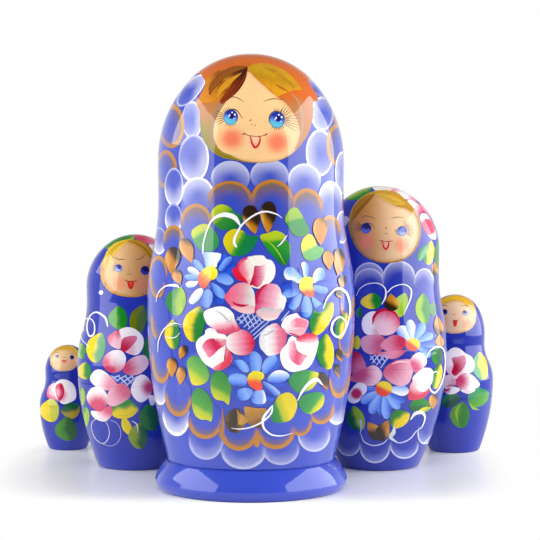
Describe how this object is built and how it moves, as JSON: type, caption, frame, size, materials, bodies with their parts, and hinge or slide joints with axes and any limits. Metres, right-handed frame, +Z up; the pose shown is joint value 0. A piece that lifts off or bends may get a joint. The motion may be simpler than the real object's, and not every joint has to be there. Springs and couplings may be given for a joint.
{
  "type": "nesting doll set",
  "caption": "Painted wooden nesting dolls standing side by side; each hollow doll turns and pulls apart at a lipped joint around its belly, and the smallest is solid.",
  "frame": {"origin": "centre of the underside of the largest doll's foot", "axes": "+Z up along the largest doll's axis, -Y the way the painted faces look, +X to the right as seen from the front"},
  "size_m": [0.2113, 0.1623, 0.18],
  "materials": {
    "periwinkle_lacquer": "gloss clear lacquer over paint on linden wood",
    "deep_blue_lacquer": "gloss clear lacquer over paint on linden wood"
  },
  "bodies": {
    "smallest_doll": {"smallest_doll": "deep_blue_lacquer"},
    "outer_lower": {"outer_lower": "periwinkle_lacquer"},
    "outer_upper": {"outer_upper": "periwinkle_lacquer"},
    "second_lower": {"second_lower": "deep_blue_lacquer"},
    "second_upper": {"second_upper": "deep_blue_lacquer"},
    "third_lower": {"third_lower": "deep_blue_lacquer"},
    "third_upper": {"third_upper": "deep_blue_lacquer"},
    "fourth_lower": {"fourth_lower": "deep_blue_lacquer"},
    "fourth_upper": {"fourth_upper": "deep_blue_lacquer"}
  },
  "joints": [
    {"name": "outer_lift", "type": "slide", "parent": "smallest_doll", "child": "outer_upper", "axis": [0, 0, 1], "range_m": [0, 0.09]},
    {"name": "outer_twist", "type": "hinge", "parent": "smallest_doll", "child": "outer_lower", "pos_m": [0, 0, 0.0695], "axis": [0, 0, 1], "continuous": true},
    {"name": "second_lift", "type": "slide", "parent": "smallest_doll", "child": "second_upper", "axis": [0, 0, 1], "range_m": [0, 0.07]},
    {"name": "second_twist", "type": "hinge", "parent": "smallest_doll", "child": "second_lower", "pos_m": [0.05641, 0.05701, 0.046], "axis": [0, 0, 1], "continuous": true},
    {"name": "third_lift", "type": "slide", "parent": "smallest_doll", "child": "third_upper", "axis": [0, 0, 1], "range_m": [0, 0.05]},
    {"name": "third_twist", "type": "hinge", "parent": "smallest_doll", "child": "third_lower", "pos_m": [-0.05172, 0.05704, 0.038], "axis": [0, 0, 1], "continuous": true},
    {"name": "fourth_lift", "type": "slide", "parent": "smallest_doll", "child": "fourth_upper", "axis": [0, 0, 1], "range_m": [0, 0.036]},
    {"name": "fourth_twist", "type": "hinge", "parent": "smallest_doll", "child": "fourth_lower", "pos_m": [0.09363, 0.10058, 0.026], "axis": [0, 0, 1], "continuous": true}
  ]
}
